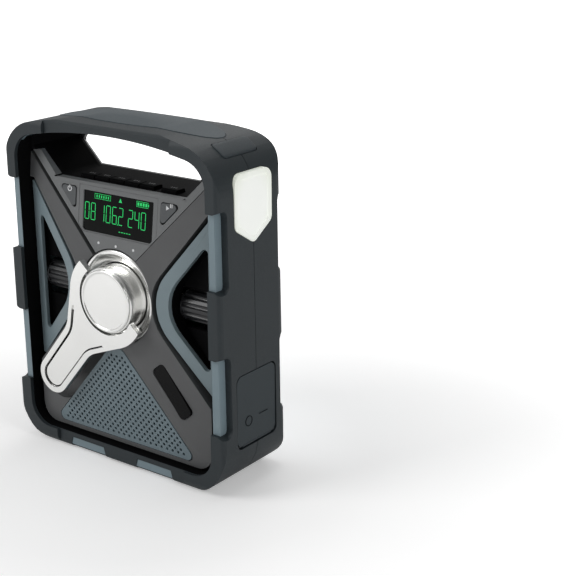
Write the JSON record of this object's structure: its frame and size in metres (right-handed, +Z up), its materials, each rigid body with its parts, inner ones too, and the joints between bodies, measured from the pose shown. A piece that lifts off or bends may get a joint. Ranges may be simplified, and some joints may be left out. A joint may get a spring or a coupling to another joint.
{
  "type": "emergency radio",
  "caption": "Rugged portable hand-crank radio with through handle, folding crank arm, side rollers, side lamps, covered sockets and a rear lantern panel.",
  "frame": {"origin": "on the floor at the seam between the two bumper halves, at mid width under the radio", "axes": "+X to the right seen from the front, -Y out of the front face with the crank, +Z up along the height"},
  "size_m": [0.146, 0.0583, 0.1843],
  "materials": {
    "bumper": "soft-touch dark grey moulded rubber",
    "button_rubber": "soft-touch dark grey rubber",
    "grip": "blue-grey fine-textured rubber",
    "shell": "blue-grey satin plastic",
    "black_plastic": "black satin plastic",
    "face_grey": "dark grey textured plastic",
    "fascia_grey": "mid grey matte plastic",
    "trim_blue": "blue-grey satin plastic",
    "grille_metal": "perforated sheet, blue-grey paint",
    "screen": "dark glossy display window",
    "chrome_satin": "satin chrome plating",
    "steel": "stamped and turned steel",
    "brass": "turned brass",
    "nylon": "natural nylon",
    "motor_case": "drawn steel can",
    "paper_cone": "treated paper cone and steel basket",
    "board_green": "green circuit board",
    "board_white": "white circuit board with light emitters",
    "lens_white": "frosted white lens, lit",
    "diffuser_white": "opal diffuser, lit",
    "led_amber": "light emitter",
    "cell_blue": "shrink-wrapped battery pack",
    "screw_black": "black screws"
  },
  "bodies": {
    "housing": {"front_bumper": "bumper", "rear_bumper": "bumper", "shell_front": "shell", "shell_rear": "shell", "base_frame": "black_plastic", "x_frame": "face_grey", "display_fascia": "fascia_grey", "lcd_bezel": "fascia_grey", "lcd_glass": "screen", "indicator_leds": "led_amber", "display_board": "board_green", "handle_deck": "black_plastic", "speaker_grille": "grille_metal", "speaker_driver": "paper_cone", "badge_plate": "black_plastic", "crank_dish": "chrome_satin", "generator": "motor_case", "roller_brackets": "black_plastic", "trim_left": "trim_blue", "trim_right": "trim_blue", "grip_pad": "grip", "lamp_lens_right": "lens_white", "lamp_lens_left": "lens_white", "lamp_reflectors": "chrome_satin", "lamp_leds": "led_amber", "port_cover_pin": "steel", "port_bay": "black_plastic", "usb_a_socket": "steel", "micro_usb_socket": "steel", "aux_jack": "black_plastic", "port_panel": "black_plastic", "rear_cover": "face_grey", "case_screws": "screw_black", "door_pins": "steel", "battery_pack": "cell_blue", "main_board": "board_green"},
    "crank_hub": {"crank_drum": "chrome_satin", "crank_cap": "chrome_satin", "crank_pins": "steel", "drive_gear": "nylon"},
    "crank_lever": {"crank_arm": "chrome_satin"},
    "thumb_disc": {"crank_knob": "face_grey"},
    "generator_rotor": {"pinion": "brass", "generator_shaft": "steel"},
    "tuning_roller": {"tuning_knob": "black_plastic"},
    "volume_roller": {"volume_knob": "black_plastic"},
    "power_key": {"power_button": "fascia_grey"},
    "play_key": {"play_button": "fascia_grey"},
    "top_key_1": {"deck_key_1": "black_plastic"},
    "top_key_2": {"deck_key_2": "black_plastic"},
    "top_key_3": {"deck_key_3": "black_plastic"},
    "top_key_4": {"deck_key_4": "black_plastic"},
    "top_key_5": {"deck_key_5": "black_plastic"},
    "top_key_6": {"deck_key_6": "black_plastic"},
    "shoulder_switch": {"light_button": "button_rubber"},
    "port_flap": {"port_cover": "button_rubber"},
    "door_latch": {"latch_slider": "trim_blue"},
    "rear_light": {"light_door": "face_grey", "light_diffuser": "diffuser_white", "light_board": "board_white"}
  },
  "joints": [
    {"name": "crank_spin", "type": "hinge", "parent": "housing", "child": "crank_hub", "pos_m": [0, -0.02, 0.0935], "axis": [0, 1, 0], "continuous": true},
    {"name": "crank_fold", "type": "hinge", "parent": "crank_hub", "child": "crank_lever", "pos_m": [0, -0.0289, 0.0935], "axis": [-0.7683, 0, 0.6401], "range_deg": [0, 180]},
    {"name": "thumb_disc_spin", "type": "hinge", "parent": "crank_lever", "child": "thumb_disc", "pos_m": [-0.04148, -0.0289, 0.04372], "axis": [0, 1, 0], "continuous": true},
    {"name": "generator_spin", "type": "hinge", "parent": "housing", "child": "generator_rotor", "pos_m": [0, -0.004, 0.1129], "axis": [0, 1, 0], "continuous": true},
    {"name": "tuning_spin", "type": "hinge", "parent": "housing", "child": "tuning_roller", "pos_m": [0.045, -0.008, 0.0935], "axis": [1, 0, 0], "continuous": true},
    {"name": "volume_spin", "type": "hinge", "parent": "housing", "child": "volume_roller", "pos_m": [-0.045, -0.008, 0.0935], "axis": [1, 0, 0], "range_deg": [-150, 150]},
    {"name": "power_press", "type": "slide", "parent": "housing", "child": "power_key", "axis": [0, 0.9917, -0.129], "range_m": [0, 0.0008], "stiffness_N_per_m": 300},
    {"name": "play_press", "type": "slide", "parent": "housing", "child": "play_key", "axis": [0, 0.9917, -0.129], "range_m": [0, 0.0008], "stiffness_N_per_m": 300},
    {"name": "top_key_1_press", "type": "slide", "parent": "housing", "child": "top_key_1", "axis": [0, 0, -1], "range_m": [0, 0.001], "stiffness_N_per_m": 300},
    {"name": "top_key_2_press", "type": "slide", "parent": "housing", "child": "top_key_2", "axis": [0, 0, -1], "range_m": [0, 0.001], "stiffness_N_per_m": 300},
    {"name": "top_key_3_press", "type": "slide", "parent": "housing", "child": "top_key_3", "axis": [0, 0, -1], "range_m": [0, 0.001], "stiffness_N_per_m": 300},
    {"name": "top_key_4_press", "type": "slide", "parent": "housing", "child": "top_key_4", "axis": [0, 0, -1], "range_m": [0, 0.001], "stiffness_N_per_m": 300},
    {"name": "top_key_5_press", "type": "slide", "parent": "housing", "child": "top_key_5", "axis": [0, 0, -1], "range_m": [0, 0.001], "stiffness_N_per_m": 300},
    {"name": "top_key_6_press", "type": "slide", "parent": "housing", "child": "top_key_6", "axis": [0, 0, -1], "range_m": [0, 0.001], "stiffness_N_per_m": 300},
    {"name": "shoulder_press", "type": "slide", "parent": "housing", "child": "shoulder_switch", "axis": [-0.5592, 0, -0.829], "range_m": [0, 0.0008], "stiffness_N_per_m": 300},
    {"name": "port_cover_hinge", "type": "hinge", "parent": "housing", "child": "port_flap", "pos_m": [0.0717, 0, 0.02565], "axis": [0, 1, 0], "range_deg": [0, 90]},
    {"name": "latch_slide", "type": "slide", "parent": "housing", "child": "door_latch", "axis": [-1, 0, 0], "range_m": [0, 0.0064]},
    {"name": "rear_light_hinge", "type": "hinge", "parent": "housing", "child": "rear_light", "pos_m": [0, 0.0214, 0.014], "axis": [-1, 0, 0], "range_deg": [0, 90]}
  ],
  "couplings": [
    {"joint": "generator_spin", "follows": "crank_spin", "ratio": -5}
  ]
}
